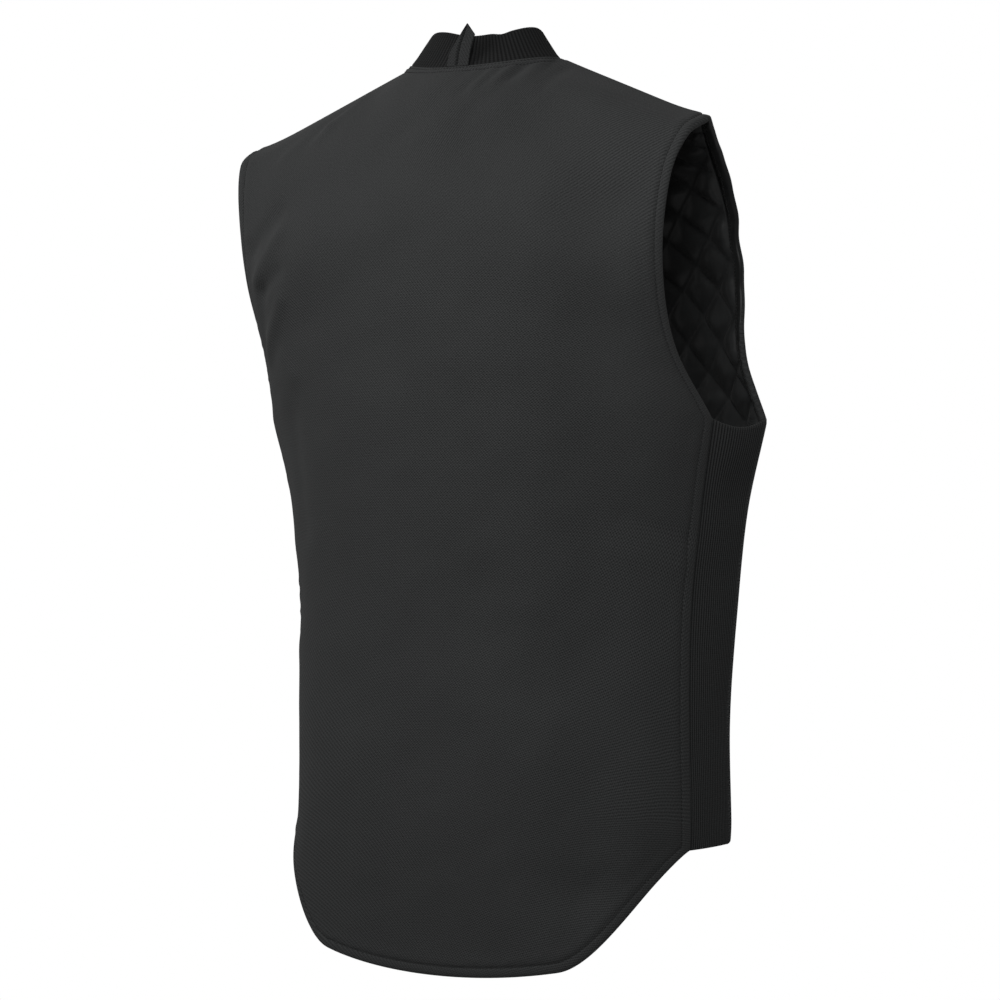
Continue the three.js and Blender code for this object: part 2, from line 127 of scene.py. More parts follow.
# Small creases of the back, in the same columns.
BACK_CREASES = (
    (97, -30, 119, -57, 6, 1.5),
    (108, -34, 132, -58, 6, -1.4),
    (119, -57, 128, -72, 6, 1.5),
    (145, -68, 160, -82, 6, 1.2),
    (148, -131, 183, -160, 9, -3.4),
    (143, -150, 174, -186, 7, 3.0),
    (144, -180, 168, -195, 7, -2.8),
    (168, -195, 178, -248, 8, -2.6),
    (144, -204, 174, -250, 7, 3.0),
    (140, -268, 150, -252, 8, 1.6),
    (-58, -13, -54, -25, 4.5, -1.5),
    (-49, -15, -44, -29, 4.5, 1.3),
    (-41, -16, -34, -32, 4.5, -1.5),
    (-35, -18, -27, -34, 4.5, 1.2),
    (-29, -19, -19, -35, 5, -1.6),
    (-13, -20, 1, -37, 6, -1.0),
    (-67, -8, -66, -25, 5, 1.3),
    (-86, -14, -83, -37, 6, -1.2),
    (-54, -25, -30, -62, 10, -1.5),
    (-20, -34, 30, -70, 11, -1.8),
    (150, -304, 146, -400, 12, -1.8),
    (-129, -691, -174, -653, 14, -1.4),
    (-146, -678, -166, -657, 9, 1.2),
    (-160, -385, -190, -404, 8, -1.4),
    (-150, -412, -186, -428, 9, 1.1),
)

# Distances from a rolled edge at which the fine grids have their lines.
EDGE_LINES = (0, 0.25, 0.8, 1.6, 2.7, 4.0, 5.3, 6.5, 7.5, 8.2, 8.9, 9.6, 10.4, 11.6, 13.2, 15.4)
STITCH_LINE = 8.6
NECK_STITCH = (3.6, 8.4)
NECK_CLEAR = 6
SIDE_STITCH = 11.5

# Canvas left showing inside a rolled edge before the satin facing, and the facing's gathers.
FACING_START = (2.8, 0.0)
FACING_PUCKER = 0.6

# Waviness of the front's armhole edge.
EDGE_WAVE = 1.5

# Padding of the outer end of a shoulder: swell, reach, and weight of each direction in that.
TIP_SWELL = 3.0
TIP_WIDE = 24.0
TIP_FORM = np.array([1, 0.7, 1])

# Distances from an edge over which folds, unevenness and creases fade in.
FOLD_FADE = 40
UNEVEN_FADE = 30
CREASE_FADE = (3, 12)

# Rolled edge: bulge before its stitches, groove along them, and the swell beyond at its distance and width.
EDGE_BULGE = 0.5
GROOVE = 0.85
NECK_GROOVE = 0.6
GROOVE_WIDE = 0.9
BEYOND, BEYOND_AWAY, BEYOND_WIDE = 0.55, 5, 3.4

# Inner stitches of a rolled edge lie this much nearer to it.
INNER_STITCH = 1.4


def smoothstep(low, high, x):
    t = np.clip((x - low) / (high - low), 0, 1)
    return t * t * (3 - 2 * t)


def mix(a, b, t):
    return a + (b - a) * t


def unit(v):
    return v / np.maximum(np.linalg.norm(v, axis=-1, keepdims=True), 1e-9)


def lengths(line):
    """Distance along a line of points to each of them."""
    return np.concatenate([[0], np.cumsum(np.linalg.norm(np.diff(line, axis=0), axis=1))])


def sample(at, knots, line):
    """Points of a line at the given places, where knots are the places of its own points."""
    return np.stack([np.interp(at, knots, values) for values in line.T], -1)


def bell(x, wide):
    return np.exp(-((x / wide) ** 2))


def raised(points, normals, by):
    return points + normals * by[..., None]


def flip(points):
    return points * np.array([-1, 1, 1])


def rounding(edge, deep):
    """Share of the full thickness by the distance from a rounded edge, none on the border of a grid."""
    full = np.sqrt(1 - (1 - np.clip(edge / (deep / 2), 0, 1)) ** 2)
    full[0] = full[-1] = 0
    full[:, 0] = full[:, -1] = 0
    return full


def smooth(knots, values, at):
    """Smooth curve through values at knots."""
    last = len(knots) - 1
    k = np.clip(np.searchsorted(knots, at, side="left") - 1, 0, last - 1)

    def rise(a, b):
        return (values[b] - values[a]) / (knots[b] - knots[a])

    span = knots[k + 1] - knots[k]
    leave = rise(np.maximum(k - 1, 0), k + 1) * span
    arrive = rise(k, np.minimum(k + 2, last)) * span
    s = (at - knots[k]) / span
    a, b = values[k], values[k + 1]
    return a + s * (leave + s * (3 * (b - a) - 2 * leave - arrive + s * (2 * (a - b) + leave + arrive)))


def ripple(u, v, wave, seed, count=18):
    """Even random waves over two coordinates, about -1 to 1."""
    draw = np.random.default_rng(seed)
    total = np.zeros(np.broadcast(u, v).shape)
    for _ in range(count):
        angle, phase = draw.uniform(0, TURN, 2)
        size = wave * draw.uniform(0.7, 1.4)
        total += np.cos(TURN * (u * math.cos(angle) + v * math.sin(angle)) / size + phase)
    return total * math.sqrt(2 / count) / 2


def askew(points):
    x, z = points[..., 0], points[..., 2]
    at = np.clip(z, ASKEW[0, 0], ASKEW[-1, 0])
    out = points.copy()
    out[..., 0] = x + smooth(ASKEW[:, 0], ASKEW[:, 1], at)
    out[..., 2] = z + x * smooth(ASKEW[:, 0], ASKEW[:, 2], at)
    return out


class Panel:
    """One canvas panel: its table, measured along its edge from the hem to the shoulder."""

    def __init__(self, rows, start, front):
        self.field = {name: np.array([row[k] for row in rows], float) for k, name in enumerate(FIELDS)}
        edge = np.stack([self.field[name] for name in FIELDS[:3]], 1)
        self.at = lengths(edge)
        self.pit = self.at[ARMPIT]
        self.end = self.at[-1]
        self.start = start
        self.front = front

    def edge(self, name, at):
        low = smooth(self.at[: ARMPIT + 1], self.field[name][: ARMPIT + 1], at)
        high = smooth(self.at[ARMPIT:], self.field[name][ARMPIT:], at)
        return np.where(at <= self.pit, low, high)

    def value(self, name, at):
        return smooth(self.at, self.field[name], at)


def bezier(t):
    return np.stack([(1 - t) ** 3, 3 * t * (1 - t) ** 2, 3 * t * t * (1 - t), t**3])


def neck_seam(angle):
    cosine = np.cos(angle)
    reach = np.where(cosine > 0, NECK_BACK, NECK_FRONT)
    drop = np.where(cosine > 0, NECK_BACK_DROP, NECK_FRONT_DROP)
    height = -drop * np.abs(cosine) ** NECK_DIP
    return np.stack([NECK_HALF * np.sin(angle), NECK_Y + reach * cosine, height], -1)


def levels(panel, columns, at):
    """Points on the levels of a panel, and the length across at each."""
    ex, ey, ez = (panel.edge(name, at) for name in FIELDS[:3])
    mid_y, mid_z, flat, side, turn_out, tail = (panel.value(name, at) for name in FIELDS[3:9])
    start = np.full_like(ex, panel.start)
    px = np.stack([start, start + flat * (ex - start), ex - turn_out, ex])
    py = np.stack([mid_y, mid_y, ey + side * (mid_y - ey), ey])
    t = np.linspace(0, 1, 201)
    step = np.hypot(np.diff(px.T @ bezier(t)), np.diff(py.T @ bezier(t)))
    run = np.concatenate([np.zeros((len(at), 1)), np.cumsum(step, 1)], 1)
    long = run[:, -1]
    cell = (long - EDGE_WIDE) / (COLUMNS - 1)
    inner = np.minimum(columns, COLUMNS - 1)
    across = cell[:, None] * inner[None] + EDGE_WIDE * np.maximum(columns - (COLUMNS - 1), 0)[None]
    part = across / long[:, None]
    points = np.empty((len(at), len(columns), 3))
    for r in range(len(at)):
        weights = bezier(np.interp(across[r], run[r], t))
        points[r, :, 0] = px[:, r] @ weights
        points[r, :, 1] = py[:, r] @ weights
    sweep = part**2
    turn = mix(smoothstep(TURN_START, 1, part), sweep, TAIL_SWEEP)
    points[..., 2] = mix(mid_z[:, None], ez[:, None], mix(sweep, turn, tail[:, None]))
    return points, part, across


def seam_pull(panel):
    """How far each column's end lies from its seam, sharp and with the neck corner softened."""
    columns = np.linspace(0, COLUMNS, 221)
    top, part, _ = levels(panel, columns, np.array([panel.end]))
    first = math.pi - math.asin(panel.start / NECK_HALF) if panel.front else 0.0
    neck = neck_seam(mix(first, math.pi / 2, np.minimum(columns / NECK_COLUMN, 1)))
    corner = part[0, np.searchsorted(columns, NECK_COLUMN)]
    along = np.clip((part[0] - corner) / (1 - corner), 0, 1)[:, None]
    shoulder = mix(neck_seam(np.array(math.pi / 2)), TIP, along)
    pull = np.where((columns <= NECK_COLUMN)[:, None], neck, shoulder) - top[0]
    spread = bell(columns[:, None] - columns[None], SEAM_SOFT)
    soft = spread @ pull / spread.sum(1, keepdims=True)
    middle = smoothstep(0, 1.6, columns) * smoothstep(0, 2.5, COLUMNS - columns)
    return columns, pull, mix(pull, soft, middle[:, None])


def surface(panel, columns, at):
    """Outer face of the half of a panel that lies towards the wearer's left."""
    points, _, across = levels(panel, columns, at)
    fine, sharp, soft = seam_pull(panel)
    sharp, soft = (sample(columns, fine, pull) for pull in (sharp, soft))
    yoke = panel.value("yoke", at)[:, None, None]
    yoke[-1] = 1
    share = np.concatenate([yoke, yoke, 1 - (1 - yoke) ** 2], -1)
    points += mix(soft[None], sharp[None], np.clip(yoke, 0, 1) ** SEAM_POWER) * share
    points[-1, columns >= NECK_COLUMN, 1] += SEAM_TUCK / 2 if panel.front else -SEAM_TUCK / 2
    return points, across


def fold_swell(folds, x, z):
    swell = np.zeros_like(x)
    for from_x, from_z, to_x, to_z, wide, high in folds:
        dx, dz = to_x - from_x, to_z - from_z
        near = np.clip(((x - from_x) * dx + (z - from_z) * dz) / (dx * dx + dz * dz), 0, 1)
        away = np.hypot(x - from_x - near * dx, z - from_z - near * dz)
        swell += high * bell(away, wide)
    return swell


def distance(points, line):
    """Distance of every point to a line of points."""
    a, d = line[:-1], np.diff(line, axis=0)
    size = np.maximum((d * d).sum(1), 1e-9)
    flat = points.reshape(-1, 3)
    best = np.empty(len(flat))
    for k in range(0, len(flat), 400):
        gap = flat[k : k + 400, None] - a[None]
        t = np.clip((gap * d).sum(2) / size, 0, 1)
        best[k : k + 400] = ((gap - t[..., None] * d) ** 2).sum(2).min(1)
    return np.sqrt(best).reshape(points.shape[:-1])


def nearest(points, lines):
    return np.min([distance(points, line) for line in lines], axis=0)


class Net:
    """Fine grid of a panel: points, outward directions, cloth coordinates and columns."""

    def __init__(self, panel, half, lines, rows, low=0.0, high=None):
        at = np.linspace(0, panel.end, 640)
        points, across = surface(panel, half, at)
        if panel.front:
            self.columns = half
        else:
            points = np.concatenate([flip(points[:, :0:-1]), points], 1)
            across = np.concatenate([-across[:, :0:-1], across], 1)
            self.columns = np.concatenate([-half[:0:-1], half])
        over = np.gradient(points, axis=1)
        up = np.gradient(points, axis=0)
        normals = unit(np.cross(over, up) if panel.front else np.cross(up, over))
        run = np.linalg.norm(np.diff(points, axis=0), axis=2)
        run = np.concatenate([np.zeros((1, len(self.columns))), np.cumsum(run, 0)], 0)
        ridge = np.zeros((len(self.columns), 3))
        slope = math.hypot(TIP[2], TIP[0] - NECK_HALF)
        ridge[:, 0] = -TIP[2] / slope * np.sign(self.columns)
        ridge[:, 2] = (TIP[0] - NECK_HALF) / slope
        near = np.minimum(np.abs(self.columns) / NECK_COLUMN, 1) ** 2
        weight = near[None] * (1 - smoothstep(0, TOP_BAND, run[-1] - run))
        normals = unit(mix(normals, ridge[None], weight[..., None]))
        level = points[:, len(self.columns) // 2 if not panel.front else 0, 2]
        mark = int(np.argmin(np.abs(level - panel.field["mid_z"][ARMPIT])))
        height = run - run[mark]
        lines = np.array(lines, float)
        coarse = np.concatenate([points, normals, across[..., None], height[..., None]], -1)
        fine = np.empty((2 * len(lines) + rows, *coarse.shape[1:]))
        for i, column in enumerate(self.columns):
            bottom = low + lines
            top = run[-1, i] - (high(column) if high else 0.0) - lines[::-1]
            middle = np.linspace(bottom[-1], top[0], rows + 2)[1:-1]
            spot = np.interp(np.concatenate([bottom, middle, top]), run[:, i], np.arange(len(at)))
            k = np.minimum(spot.astype(int), len(at) - 2)
            fine[:, i] = mix(coarse[k, i], coarse[k + 1, i], (spot - k)[:, None])
        self.points, self.normals = fine[..., :3].copy(), unit(fine[..., 3:6])
        self.u, self.v = fine[..., 6].copy(), fine[..., 7].copy()
        self.panel = panel


def shell(outer, inner, extra=None):
    """Closed mesh of two grids that share their border: points, faces and the grids' coordinates."""
    rows, cols = outer.shape[:2]
    index = np.arange(rows * cols).reshape(rows, cols)
    under = index.copy()
    under[1:-1, 1:-1] = rows * cols + np.arange((rows - 2) * (cols - 2)).reshape(rows - 2, cols - 2)
    points = np.concatenate([outer.reshape(-1, 3), inner[1:-1, 1:-1].reshape(-1, 3)])
    faces = np.concatenate([quads(index), quads(under)[:, ::-1]])
    if extra is None:
        return points, faces, None
    return points, faces, np.concatenate([extra.reshape(-1, 3), extra[1:-1, 1:-1].reshape(-1, 3)])


def quads(index):
    ring = [index[:-1, :-1], index[:-1, 1:], index[1:, 1:], index[1:, :-1]]
    return np.stack(ring, -1).reshape(-1, 4)


def outward(points, faces):
    a, b, c = (points[faces[:, k]] for k in (0, 1, 2))
    d = points[faces[:, 3]]
    volume = (a * np.cross(b, c)).sum() + (a * np.cross(c, d)).sum()
    return faces if volume > 0 else faces[:, ::-1]


def make(name, points, faces, materials, cloth=None, picks=None):
    """New object from points in millimetres; askew like the whole vest."""
    mesh = bpy.data.meshes.new(name)
    mesh.from_pydata((askew(points) * MM).tolist(), [], faces.tolist())
    mesh.shade_smooth()
    if cloth is not None:
        layer = mesh.attributes.new("cloth", "FLOAT_VECTOR", "POINT")
        layer.data.foreach_set("vector", np.ascontiguousarray(cloth, np.float32).ravel())
    for material in materials:
        mesh.materials.append(material)
    if picks is not None:
        mesh.polygons.foreach_set("material_index", np.ascontiguousarray(picks, np.int32))
    obj = bpy.data.objects.new(name, mesh)
    bpy.context.collection.objects.link(obj)
    return obj


# Materials.


class Paint:
    """Small helper that adds nodes to a material."""

    def __init__(self, name):
        self.material = bpy.data.materials.new(name)
        self.material.use_nodes = True
        self.tree = self.material.node_tree
        self.tree.nodes.clear()
        self.shader = self.add("ShaderNodeBsdfPrincipled")
        out = self.add("ShaderNodeOutputMaterial")
        self.tree.links.new(self.shader.outputs[0], out.inputs[0])

    def add(self, kind, inputs=None, **props):
        node = self.tree.nodes.new(kind)
        for key, value in props.items():
            setattr(node, key, value)
        for key, value in (inputs or {}).items():
            self.put(node.inputs[key], value)
        return node

    def put(self, socket, value):
        if isinstance(value, bpy.types.NodeSocket):
            self.tree.links.new(value, socket)
        else:
            socket.default_value = value

    def math(self, operation, a, b=0.0, c=0.0):
        return self.add("ShaderNodeMath", {0: a, 1: b, 2: c}, operation=operation).outputs[0]

    def times(self, a, b):
        return self.math("MULTIPLY", a, b)

    def scaled(self, value, by, plus):
        return self.math("MULTIPLY_ADD", value, by, plus)

    def noise(self, vector, scale, detail=2.0, rough=0.5):
        inputs = {"Vector": vector, "Scale": scale, "Detail": detail, "Roughness": rough}
        return self.add("ShaderNodeTexNoise", inputs).outputs[0]

    def stretch(self, vector, size):
        inputs = {"Vector": vector, "Scale": (*size, 1)}
        return self.add("ShaderNodeMapping", inputs).outputs[0]

    def range(self, value, a, b, c, d):
        return self.add("ShaderNodeMapRange", {0: value, 1: a, 2: b, 3: c, 4: d}).outputs[0]

    def tint(self, value, dark, light):
        inputs = {0: value, 6: (*dark, 1), 7: (*light, 1)}
        return self.add("ShaderNodeMix", inputs, data_type="RGBA").outputs[2]

    def blend(self, share, a, b):
        return self.add("ShaderNodeMix", {0: share, 2: a, 3: b}).outputs[0]

    def bump(self, height, strength, deep):
        inputs = {"Height": height, "Strength": strength, "Distance": deep}
        self.put(self.shader.inputs["Normal"], self.add("ShaderNodeBump", inputs).outputs[0])

    def set(self, **values):
        for key, value in values.items():
            self.put(self.shader.inputs[key.replace("_", " ")], value)
        return self.material


def cloth_coordinates(paint):
    node = paint.add("ShaderNodeAttribute", attribute_name="cloth")
    split = paint.add("ShaderNodeSeparateXYZ", {0: node.outputs["Vector"]})
    return node.outputs["Vector"], *split.outputs


def sine(paint, value, period, shift=0.0):
    turned = paint.scaled(value, TURN / period, shift)
    return paint.scaled(paint.math("SINE", turned), 0.5, 0.5)


# Weave of the canvas: period of its level lines, and period and slope of its diagonals and warp.
LEVEL_PERIOD = 2.4
SHALLOW_PERIOD, SHALLOW_SLOPE = 2.9, 0.9
STEEP_PERIOD, STEEP_SLOPE = 4.4, 2.2
WARP_PERIOD, WARP_SLOPE = 2.7, 0.3
WEAVE_DRIFT = 0.025

# Darkest and lightest sum of the weave, thread, slub and blotch shares.
CANVAS_SPAN = (0.36, 1.94)


def canvas_material(name, dark, light):
    paint = Paint(name)
    vector, u, v, _ = cloth_coordinates(paint)
    drift = paint.noise(paint.stretch(vector, (WEAVE_DRIFT, WEAVE_DRIFT)), 1.0, 3.0)

    def lines_of(value, period, sway):
        return sine(paint, value, period, paint.times(drift, sway))

    low_arch = paint.range(v, -330.0, -90.0, 0.0022, 0.0)
    arch = paint.times(paint.times(u, u), low_arch)
    level = lines_of(paint.math("ADD", v, arch), LEVEL_PERIOD, 7.0)
    shallow = lines_of(paint.scaled(u, SHALLOW_SLOPE, v), SHALLOW_PERIOD, 6.0)
    steep = lines_of(paint.scaled(u, STEEP_SLOPE, v), STEEP_PERIOD, 6.0)
    warp = lines_of(paint.scaled(v, WARP_SLOPE, u), WARP_PERIOD, 9.0)
    centre = paint.range(paint.math("ABSOLUTE", u), 80.0, 150.0, 1.0, 0.0)
    near_neck = paint.times(centre, paint.range(v, 140.0, 210.0, 0.0, 1.0))
    slant = paint.blend(near_neck, shallow, steep)
    high = paint.range(v, 90.0, 190.0, 0.0, 1.0)
    far_right = paint.range(u, -190.0, -140.0, 0.6, 0.0)
    right = paint.times(far_right, paint.range(v, -60.0, 20.0, 0.0, 1.0))
    slanted = paint.math("MAXIMUM", high, right)
    lines = paint.blend(slanted, level, slant)
    plain = paint.times(paint.math("SUBTRACT", level, 0.5), paint.math("SUBTRACT", warp, 0.5))
    twill = paint.scaled(slant, 0.22, -0.11)
    dots = paint.blend(slanted, plain, twill)
    fine = paint.noise(paint.stretch(vector, (0.75, 0.95)), 1.0, 2.0, 0.7)
    slub = paint.noise(paint.stretch(vector, (0.09, 0.7)), 1.0, 2.0)
    blotch = paint.noise(paint.stretch(vector, (0.014, 0.014)), 1.0, 4.0)
    weave = paint.scaled(lines, 0.16, paint.times(dots, 2.2))
    thread = paint.scaled(fine, 1.8, paint.times(blotch, 0.25))
    total = paint.scaled(slub, 0.1, paint.math("ADD", weave, thread))
    height = paint.scaled(dots, 2.4, paint.scaled(lines, 0.3, fine))
    paint.bump(height, 0.4, 0.0004)
    return paint.set(
        Base_Color=paint.tint(paint.range(total, *CANVAS_SPAN, 0.0, 1.0), dark, light),
        Roughness=paint.range(fine, 0.2, 0.8, 0.84, 0.95),
        Sheen_Weight=0.04,
        Sheen_Roughness=0.5,
        Specular_IOR_Level=0.12,
    )


def knit_material(name, dark, light):
    paint = Paint(name)
    vector, rib, v, _ = cloth_coordinates(paint)
    crest = paint.scaled(paint.math("COSINE", paint.times(rib, TURN)), -0.5, 0.5)
    bend = paint.times(crest, 2.6)
    loops = sine(paint, v, 1.75, bend)
    fuzz = paint.noise(paint.stretch(vector, (5.0, 0.5)), 1.0, 3.0)
    # Painted shade: the knit's colour is darker in the valleys between its ribs and lighter on their
    # crests, mixed with the pattern of its loops.
    valley_shade_and_loops = paint.scaled(crest, 0.6, paint.times(loops, 0.12))
    value = paint.range(paint.scaled(fuzz, 0.6, valley_shade_and_loops), 0.3, 1.1, 0.0, 1.0)
    paint.bump(paint.scaled(fuzz, 0.6, loops), 0.3, 0.0004)
    return paint.set(
        Base_Color=paint.tint(value, dark, light),
        Roughness=paint.range(fuzz, 0.2, 0.8, 0.85, 1.0),
        Sheen_Weight=0.04,
        Sheen_Roughness=0.6,
        Specular_IOR_Level=0.1,
    )


def satin_material(name, dark, light, gloss):
    paint = Paint(name)
    _, u, v, seam = cloth_coordinates(paint)
    flat = paint.add("ShaderNodeCombineXYZ", {0: u, 1: v}).outputs[0]
    grain = paint.noise(paint.stretch(flat, (0.9, 0.08)), 1.0, 3.0)
    crease = paint.noise(paint.stretch(flat, (0.06, 0.06)), 1.0, 3.0)
    value = paint.scaled(grain, 0.4, paint.times(crease, 0.6))
    # Painted shade: the satin's colour darkens towards each quilting seam, where the puffs meet in a
    # groove.
    seam_shade = paint.range(seam, 0.2, 1.2, 0.5, 1.0)
    paint.bump(paint.scaled(grain, 0.2, crease), 0.25, 0.0012)
    return paint.set(
        Base_Color=paint.tint(paint.times(value, seam_shade), dark, light),
        Roughness=paint.range(crease, 0.2, 0.8, 0.34, 0.44),
        Sheen_Weight=0.03,
        Sheen_Roughness=0.4,
        Specular_IOR_Level=gloss,
    )


def grain_material(name, dark, light, size, detail, relief, rough, gloss):
    paint = Paint(name)
    place = paint.add("ShaderNodeNewGeometry").outputs["Position"]
    grain = paint.noise(place, size, detail)
    if relief:
        paint.bump(grain, relief, 0.0002)
    return paint.set(
        Base_Color=paint.tint(grain, dark, light),
        Roughness=paint.range(grain, 0.2, 0.8, *rough),
        Specular_IOR_Level=gloss,
    )


def gray(level):
    return (level, level * 1.032, level * 1.04)


# Grain of plain materials: size, detail, relief, range of roughness, gloss.
THREAD_GRAIN = (2600.0, 2.0, 0.4, (0.55, 0.75), 0.3)
PLASTIC_GRAIN = (900.0, 3.0, 0.15, (0.34, 0.5), 0.5)
FLOOR_GRAIN = (3.0, 2.0, 0.0, (0.9, 0.9), 0.1)

CANVAS_PAINT = canvas_material("duck_canvas", gray(0.0095), gray(0.0525))
KNIT_PAINT = knit_material("rib_knit", gray(0.006), gray(0.045))
COLLAR_PAINT = knit_material("collar_knit", gray(0.0035), gray(0.0145))
LOOP_PAINT = canvas_material("loop_canvas", gray(0.008), gray(0.038))
# Painted light: the lining and the facing are one satin, and the lining's copy is painted lighter than the
# facing's, standing in for light that the dim inside of the vest lacks.
SATIN_PAINT = satin_material("quilted_satin", gray(0.013), gray(0.034), 0.36)
FACING_PAINT = satin_material("facing_satin", gray(0.0045), gray(0.022), 0.18)
THREAD_PAINT = grain_material("thread", gray(0.006), gray(0.02), *THREAD_GRAIN)
TAPE_PAINT = grain_material("zip_tape", gray(0.008), gray(0.02), *THREAD_GRAIN)
ZIP_PAINT = grain_material("zip_plastic", gray(0.008), gray(0.016), *PLASTIC_GRAIN)


# Canvas panels.

EDGE_COLUMNS = [COLUMNS - line / EDGE_WIDE for line in EDGE_LINES if line <= EDGE_WIDE]
INNER_COLUMNS = [COLUMNS - 1 - share for share in (0.03, 0.08, 0.15, 0.25, 0.36, 0.48)]
CENTRE_COLUMNS = [0.05 * line for line in EDGE_LINES]
SIDE_COLUMNS = EDGE_COLUMNS + INNER_COLUMNS
BACK_HALF = np.unique(np.round([*SIDE_COLUMNS, *np.linspace(0, 9.4, 76)], 5))
FRONT_HALF = np.unique(np.round([*SIDE_COLUMNS, *CENTRE_COLUMNS, *np.linspace(0.9, 9.4, 68)], 5))
BACK_ROWS = 200
FRONT_ROWS = 180

# Distance to the next quilting seam where there is none, and shift of the weave on the mirrored front.
FAR_SEAM = 20.0
MIRROR_SHIFT = (37.0, 0, 0)


def undulation(u, v):
    """Slow unevenness of worn canvas."""
    return 0.7 * ripple(u, v, 95, 11) + 0.22 * ripple(u, v, 34, 12)


def tip_swell(points):
    """Padding of the outer ends of the shoulders."""
    gaps = [side * TIP_FORM - TIP * TIP_FORM for side in (points, flip(points))]
    return TIP_SWELL * bell(np.linalg.norm(gaps, axis=-1).min(0), TIP_WIDE)


def swells(net, folds, away, most=math.inf):
    """Folds up to a height, padding and unevenness of a panel, by the distance from its edges."""
    p = net.points
    fold = fold_swell(folds, p[..., 0], p[..., 2]) * smoothstep(0, FOLD_FADE, away)
    uneven = undulation(net.u, net.v) * smoothstep(0, UNEVEN_FADE, away)
    return np.minimum(fold, most) + tip_swell(p) + uneven


def dress(net, folds, creases):
    """Outer and inner face of a canvas panel with rolled edges, stitch grooves, folds and puckers."""
    p, n, u, v = net.points, net.normals, net.u, net.v
    if net.panel.front:
        wave = EDGE_WAVE * ripple(0, v, 34, 8) * np.exp(-distance(p, p[:, -1]) / 9) * smoothstep(-20, 60, v)
        wave[-1] = 0
        p = p + unit(np.gradient(p, axis=1)) * wave[..., None]
    neck = np.abs(net.columns) <= NECK_COLUMN
    neck_away = distance(p, p[-1, neck])
    last_away, first_away = distance(p, p[:, -1]), distance(p, p[:, 0])
    side_away = np.minimum(last_away, first_away)
    hem_away = distance(p, p[0])
    rolled = np.minimum(np.minimum(side_away, hem_away), neck_away)
    ridge = np.abs(net.columns) >= NECK_COLUMN
    lines = [p[-1, ridge & (net.columns > 0)]]
    if not net.panel.front:
        lines.append(p[-1, ridge & (net.columns < 0)])
    shoulder = nearest(p, lines)
    roll = 1 - smoothstep(STITCH_LINE, STITCH_LINE + 2, rolled)
    deep = mix(CANVAS, EDGE_DEEP, roll)
    away = np.minimum(rolled, shoulder)
    half = deep / 2 * rounding(away, deep)
    narrow = STITCH_LINE / mix(SIDE_STITCH, STITCH_LINE, smoothstep(-40, 30, v))
    side_level = np.minimum(last_away * narrow, first_away * (1 if net.panel.front else narrow))
    edge = np.minimum(side_level, hem_away)
    pucker = ripple(u, v, 11, 3)
    bulge = EDGE_BULGE * np.sin(math.pi * np.clip(edge / STITCH_LINE, 0, 1))
    groove = -(GROOVE + 0.25 * pucker) * bell(edge - STITCH_LINE, GROOVE_WIDE)
    after = (BEYOND + 0.35 * pucker) * bell(edge - STITCH_LINE - BEYOND_AWAY, BEYOND_WIDE)
    for line in NECK_STITCH:
        groove -= (NECK_GROOVE + 0.2 * pucker) * bell(neck_away - line, GROOVE_WIDE)
    bulge += 0.35 * bell(neck_away - mix(*NECK_STITCH, 0.5), 1.6)
    crease = fold_swell(creases, p[..., 0], p[..., 2]) * smoothstep(*CREASE_FADE, away)
    swell = swells(net, folds, away) + crease
    lift = swell + (bulge + after) * smoothstep(0, 3, away) + groove
    middle = -deep / 2
    gather = -FACING_PUCKER * ripple(u, v, 7, 5) * roll * smoothstep(0, 3, away)
    crimp = 0.5 * bell(rolled - STITCH_LINE + INNER_STITCH, GROOVE_WIDE)
    outer = raised(p, n, middle + half + lift)
    inner = raised(p, n, middle - half + swell + gather + crimp)
    rim = raised(p, n, middle + swell)
    for end in (0, -1):
        outer[end] = inner[end] = rim[end]
        outer[:, end] = inner[:, end] = rim[:, end]
    net.away = {"side": side_level, "hem": hem_away, "neck": neck_away}
    net.rolled = rolled
    net.outer, net.inner = outer, inner


def cloth_of(u, v, seam=0.0):
    """Cloth coordinates: across, up, and the distance from a quilting seam."""
    return np.stack(np.broadcast_arrays(u, v, seam), -1)


back_panel = Panel(BACK, 0.0, False)
front_panel = Panel(FRONT, CLOSURE / 2, True)
back_net = Net(back_panel, BACK_HALF, EDGE_LINES, BACK_ROWS)
front_net = Net(front_panel, FRONT_HALF, EDGE_LINES, FRONT_ROWS)
dress(back_net, BACK_FOLDS, BACK_CREASES)
dress(front_net, (), ())


def add_piece(name, mesh, materials, replaced=None, mirror=False, picks=None):
    points, faces, cloth = mesh
    if mirror:
        points = flip(points)
    obj = make(name, points, outward(points, faces), materials, cloth, picks)
    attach(obj, "root")
    if replaced:
        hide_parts(replaced)
    return obj


def add_panel(name, net, mirror):
    points, faces, cloth = shell(net.outer, net.inner, cloth_of(net.u, net.v, FAR_SEAM))
    if mirror:
        cloth = flip(cloth) + MIRROR_SHIFT
    gap = net.rolled
    cell = (gap[:-1, :-1] + gap[1:, :-1] + gap[:-1, 1:] + gap[1:, 1:]) / 4
    start = mix(*FACING_START, smoothstep(20, 110, net.v[:-1, :-1]))
    facing = (cell > start).astype(int).ravel()
    picks = np.concatenate([np.zeros_like(facing), facing])
    paints = [CANVAS_PAINT, FACING_PAINT]
    return add_piece(name + "_cloth", (points, faces, cloth), paints, name, mirror, picks)


back_cloth = add_panel("back_panel", back_net, False)
front_right = add_panel("front_panel_right", front_net, True)
front_left = add_panel("front_panel_left", front_net, False)


# Stitching.

STITCH_PITCH = 3.1
STITCH_LONG = 2.5
THREAD = 0.38
THREAD_SIDES = 6


